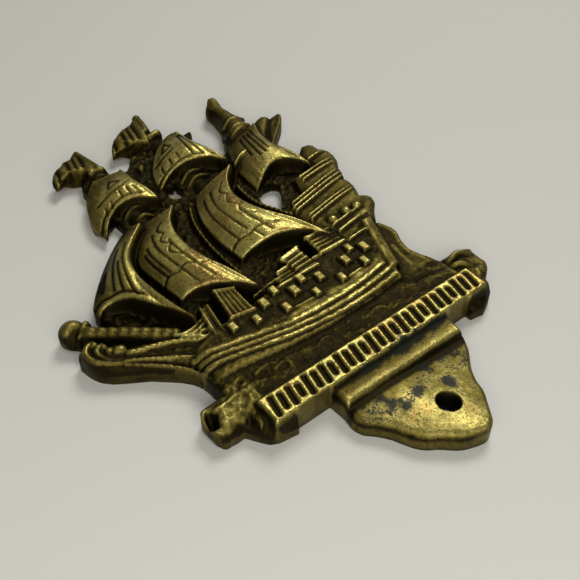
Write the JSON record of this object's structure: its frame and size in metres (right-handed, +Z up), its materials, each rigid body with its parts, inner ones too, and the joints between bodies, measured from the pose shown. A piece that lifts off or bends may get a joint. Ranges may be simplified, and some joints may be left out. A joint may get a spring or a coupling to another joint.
{
  "type": "decorative wall plaque",
  "caption": "Cast brass wall plaque of a masted sailing ship in relief on a sea, with a bar of slanted strokes and a drilled fixing tab below.",
  "frame": {"origin": "on the flat back, behind the middle of the name bar", "axes": "+Z up the wall, +Y into the wall, the relief faces -Y, +X to the right seen from the front"},
  "size_m": [0.0746, 0.0082, 0.1104],
  "materials": {
    "aged_brass": "aged, dark in the hollows and rubbed bright on the high edges"
  },
  "bodies": {
    "root": {"galleon_plaque": "aged_brass"}
  },
  "joints": []
}
